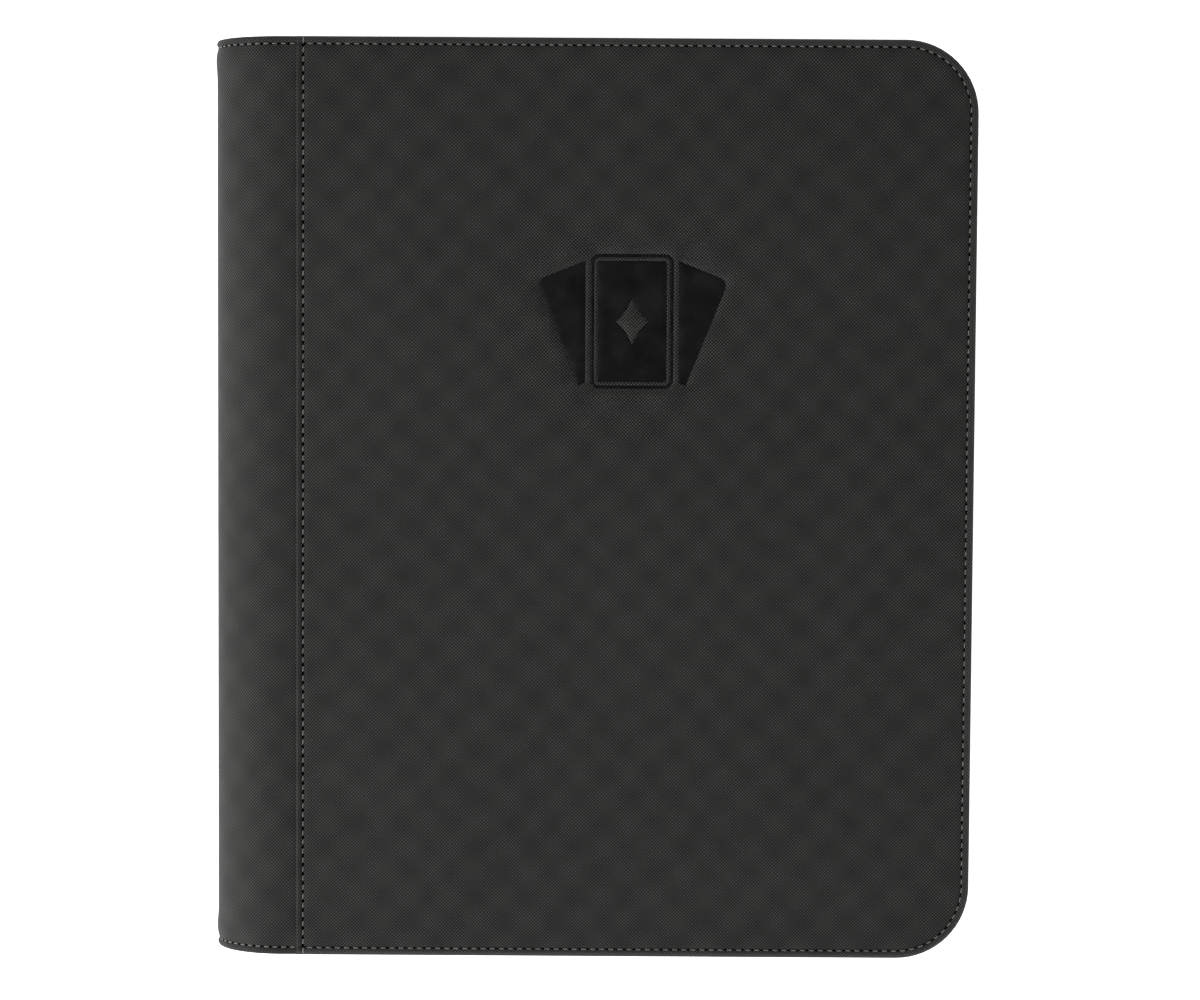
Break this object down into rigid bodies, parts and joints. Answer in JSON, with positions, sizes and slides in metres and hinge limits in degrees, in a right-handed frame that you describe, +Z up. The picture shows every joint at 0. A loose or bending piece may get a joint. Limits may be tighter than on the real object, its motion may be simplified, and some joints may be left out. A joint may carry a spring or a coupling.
{
  "type": "trading card binder",
  "caption": "Padded zip-round binder for trading cards, with a soft rounded spine, stitched edges and bound pocket pages.",
  "frame": {"origin": "middle of the outline at the outer face of the back cover, which is the surface it rests on", "axes": "+Z up through the closed binder to the front cover; +Y from tail to head of the covers; +X from the spine to the opening edge"},
  "size_m": [0.282, 0.34, 0.044],
  "materials": {
    "cover_cloth": "woven nylon, dark charcoal",
    "lining_cloth": "smooth black lining",
    "foam": "closed-cell padding",
    "board": "grey board",
    "binding_core": "black spacer strips",
    "page_film": "black backing under clear film",
    "emblem_film": "smooth gloss black",
    "zip_tape": "woven polyester tape",
    "zip_coil": "nylon coil",
    "slider_metal": "gunmetal",
    "pull_rubber": "moulded soft plastic"
  },
  "bodies": {
    "back_cover": {"back_board": "board", "back_foam": "foam", "back_lining": "lining_cloth", "back_panel_fabric": "cover_cloth", "back_spine_flap": "cover_cloth", "back_zip_coil": "zip_coil", "back_zip_stops": "slider_metal", "back_zip_tape": "zip_tape"},
    "spine_1": {"spine_fabric_1": "cover_cloth", "spine_foam_1": "foam", "spine_lining_1": "lining_cloth"},
    "spine_2": {"spine_fabric_2": "cover_cloth", "spine_foam_2": "foam", "spine_lining_2": "lining_cloth"},
    "spine_3": {"spine_fabric_3": "cover_cloth", "spine_foam_3": "foam", "spine_lining_3": "lining_cloth", "page_binding_core": "binding_core", "page_binding_wrap": "lining_cloth"},
    "spine_4": {"spine_fabric_4": "cover_cloth", "spine_foam_4": "foam", "spine_lining_4": "lining_cloth"},
    "spine_5": {"spine_fabric_5": "cover_cloth", "spine_foam_5": "foam", "spine_lining_5": "lining_cloth"},
    "front_cover": {"front_board": "board", "front_emblem": "emblem_film", "front_foam": "foam", "front_lining": "lining_cloth", "front_panel_fabric": "cover_cloth", "front_spine_flap": "cover_cloth", "front_zip_coil": "zip_coil", "front_zip_stops": "slider_metal", "front_zip_tape": "zip_tape"},
    "page_01": {"page_01": "page_film"},
    "page_02": {"page_02": "page_film"},
    "page_03": {"page_03": "page_film"},
    "page_04": {"page_04": "page_film"},
    "page_05": {"page_05": "page_film"},
    "page_06": {"page_06": "page_film"},
    "page_07": {"page_07": "page_film"},
    "page_08": {"page_08": "page_film"},
    "page_09": {"page_09": "page_film"},
    "page_10": {"page_10": "page_film"},
    "page_11": {"page_11": "page_film"},
    "page_12": {"page_12": "page_film"},
    "page_13": {"page_13": "page_film"},
    "page_14": {"page_14": "page_film"},
    "page_15": {"page_15": "page_film"},
    "page_16": {"page_16": "page_film"},
    "page_17": {"page_17": "page_film"},
    "page_18": {"page_18": "page_film"},
    "page_19": {"page_19": "page_film"},
    "page_20": {"page_20": "page_film"},
    "zip_slider": {"zip_slider_body": "slider_metal", "zip_slider_bridge": "slider_metal"},
    "zip_link": {"zip_pull_link": "slider_metal"},
    "zip_tab": {"zip_pull_tab": "pull_rubber"}
  },
  "joints": [
    {"name": "spine_fold_1", "type": "hinge", "parent": "back_cover", "child": "spine_1", "pos_m": [-0.12021, 0, 0.0024], "axis": [0, -1, 0], "range_deg": [0, 20]},
    {"name": "spine_fold_2", "type": "hinge", "parent": "spine_1", "child": "spine_2", "pos_m": [-0.13167, 0, 0.00657], "axis": [0, -1, 0], "range_deg": [0, 30]},
    {"name": "spine_fold_3", "type": "hinge", "parent": "spine_2", "child": "spine_3", "pos_m": [-0.1395, 0, 0.01591], "axis": [0, -1, 0], "range_deg": [0, 40]},
    {"name": "spine_fold_4", "type": "hinge", "parent": "spine_3", "child": "spine_4", "pos_m": [-0.1395, 0, 0.02809], "axis": [0, -1, 0], "range_deg": [0, 40]},
    {"name": "spine_fold_5", "type": "hinge", "parent": "spine_4", "child": "spine_5", "pos_m": [-0.13167, 0, 0.03743], "axis": [0, -1, 0], "range_deg": [0, 30]},
    {"name": "spine_fold_6", "type": "hinge", "parent": "spine_5", "child": "front_cover", "pos_m": [-0.12021, 0, 0.0416], "axis": [0, -1, 0], "range_deg": [0, 20]},
    {"name": "page_01_turn", "type": "hinge", "parent": "spine_3", "child": "page_01", "pos_m": [-0.12345, 0, 0.01345], "axis": [0, 1, 0], "range_deg": [0, 92.5]},
    {"name": "page_02_turn", "type": "hinge", "parent": "spine_3", "child": "page_02", "pos_m": [-0.12266, 0, 0.01435], "axis": [0, 1, 0], "range_deg": [0, 92.5]},
    {"name": "page_03_turn", "type": "hinge", "parent": "spine_3", "child": "page_03", "pos_m": [-0.12188, 0, 0.01525], "axis": [0, 1, 0], "range_deg": [0, 92.5]},
    {"name": "page_04_turn", "type": "hinge", "parent": "spine_3", "child": "page_04", "pos_m": [-0.1211, 0, 0.01615], "axis": [0, 1, 0], "range_deg": [0, 92.5]},
    {"name": "page_05_turn", "type": "hinge", "parent": "spine_3", "child": "page_05", "pos_m": [-0.12032, 0, 0.01705], "axis": [0, 1, 0], "range_deg": [0, 92.5]},
    {"name": "page_06_turn", "type": "hinge", "parent": "spine_3", "child": "page_06", "pos_m": [-0.11953, 0, 0.01795], "axis": [0, 1, 0], "range_deg": [0, 92.5]},
    {"name": "page_07_turn", "type": "hinge", "parent": "spine_3", "child": "page_07", "pos_m": [-0.11875, 0, 0.01885], "axis": [0, 1, 0], "range_deg": [0, 92.5]},
    {"name": "page_08_turn", "type": "hinge", "parent": "spine_3", "child": "page_08", "pos_m": [-0.11797, 0, 0.01975], "axis": [0, 1, 0], "range_deg": [0, 92.5]},
    {"name": "page_09_turn", "type": "hinge", "parent": "spine_3", "child": "page_09", "pos_m": [-0.11718, 0, 0.02065], "axis": [0, 1, 0], "range_deg": [0, 92.5]},
    {"name": "page_10_turn", "type": "hinge", "parent": "spine_3", "child": "page_10", "pos_m": [-0.1164, 0, 0.02155], "axis": [0, 1, 0], "range_deg": [0, 92.5]},
    {"name": "page_11_turn", "type": "hinge", "parent": "spine_3", "child": "page_11", "pos_m": [-0.1164, 0, 0.02245], "axis": [0, -1, 0], "range_deg": [0, 92.5]},
    {"name": "page_12_turn", "type": "hinge", "parent": "spine_3", "child": "page_12", "pos_m": [-0.11718, 0, 0.02335], "axis": [0, -1, 0], "range_deg": [0, 92.5]},
    {"name": "page_13_turn", "type": "hinge", "parent": "spine_3", "child": "page_13", "pos_m": [-0.11797, 0, 0.02425], "axis": [0, -1, 0], "range_deg": [0, 92.5]},
    {"name": "page_14_turn", "type": "hinge", "parent": "spine_3", "child": "page_14", "pos_m": [-0.11875, 0, 0.02515], "axis": [0, -1, 0], "range_deg": [0, 92.5]},
    {"name": "page_15_turn", "type": "hinge", "parent": "spine_3", "child": "page_15", "pos_m": [-0.11953, 0, 0.02605], "axis": [0, -1, 0], "range_deg": [0, 92.5]},
    {"name": "page_16_turn", "type": "hinge", "parent": "spine_3", "child": "page_16", "pos_m": [-0.12032, 0, 0.02695], "axis": [0, -1, 0], "range_deg": [0, 92.5]},
    {"name": "page_17_turn", "type": "hinge", "parent": "spine_3", "child": "page_17", "pos_m": [-0.1211, 0, 0.02785], "axis": [0, -1, 0], "range_deg": [0, 92.5]},
    {"name": "page_18_turn", "type": "hinge", "parent": "spine_3", "child": "page_18", "pos_m": [-0.12188, 0, 0.02875], "axis": [0, -1, 0], "range_deg": [0, 92.5]},
    {"name": "page_19_turn", "type": "hinge", "parent": "spine_3", "child": "page_19", "pos_m": [-0.12266, 0, 0.02965], "axis": [0, -1, 0], "range_deg": [0, 92.5]},
    {"name": "page_20_turn", "type": "hinge", "parent": "spine_3", "child": "page_20", "pos_m": [-0.12345, 0, 0.03055], "axis": [0, -1, 0], "range_deg": [0, 92.5]},
    {"name": "zip_slide", "type": "slide", "parent": "back_cover", "child": "zip_slider", "axis": [1, 0, 0], "range_m": [0, 0.2]},
    {"name": "zip_link_swing", "type": "hinge", "parent": "zip_slider", "child": "zip_link", "pos_m": [-0.1, -0.1673, 0.022], "axis": [0, 0, -1], "range_deg": [0, 120]},
    {"name": "zip_tab_swing", "type": "hinge", "parent": "zip_link", "child": "zip_tab", "pos_m": [-0.0935, -0.1673, 0.022], "axis": [0, 0, -1], "range_deg": [0, 60]}
  ],
  "couplings": [
    {"joint": "spine_fold_2", "follows": "spine_fold_1", "ratio": 1.5},
    {"joint": "spine_fold_3", "follows": "spine_fold_1", "ratio": 2},
    {"joint": "spine_fold_4", "follows": "spine_fold_1", "ratio": 2},
    {"joint": "spine_fold_5", "follows": "spine_fold_1", "ratio": 1.5},
    {"joint": "spine_fold_6", "follows": "spine_fold_1", "ratio": 1},
    {"joint": "page_01_turn", "follows": "spine_fold_1", "ratio": 4.625},
    {"joint": "page_02_turn", "follows": "spine_fold_1", "ratio": 4.625},
    {"joint": "page_03_turn", "follows": "spine_fold_1", "ratio": 4.625},
    {"joint": "page_04_turn", "follows": "spine_fold_1", "ratio": 4.625},
    {"joint": "page_05_turn", "follows": "spine_fold_1", "ratio": 4.625},
    {"joint": "page_06_turn", "follows": "spine_fold_1", "ratio": 4.625},
    {"joint": "page_07_turn", "follows": "spine_fold_1", "ratio": 4.625},
    {"joint": "page_08_turn", "follows": "spine_fold_1", "ratio": 4.625},
    {"joint": "page_09_turn", "follows": "spine_fold_1", "ratio": 4.625},
    {"joint": "page_10_turn", "follows": "spine_fold_1", "ratio": 4.625},
    {"joint": "page_11_turn", "follows": "spine_fold_1", "ratio": 4.625},
    {"joint": "page_12_turn", "follows": "spine_fold_1", "ratio": 4.625},
    {"joint": "page_13_turn", "follows": "spine_fold_1", "ratio": 4.625},
    {"joint": "page_14_turn", "follows": "spine_fold_1", "ratio": 4.625},
    {"joint": "page_15_turn", "follows": "spine_fold_1", "ratio": 4.625},
    {"joint": "page_16_turn", "follows": "spine_fold_1", "ratio": 4.625},
    {"joint": "page_17_turn", "follows": "spine_fold_1", "ratio": 4.625},
    {"joint": "page_18_turn", "follows": "spine_fold_1", "ratio": 4.625},
    {"joint": "page_19_turn", "follows": "spine_fold_1", "ratio": 4.625},
    {"joint": "page_20_turn", "follows": "spine_fold_1", "ratio": 4.625}
  ]
}
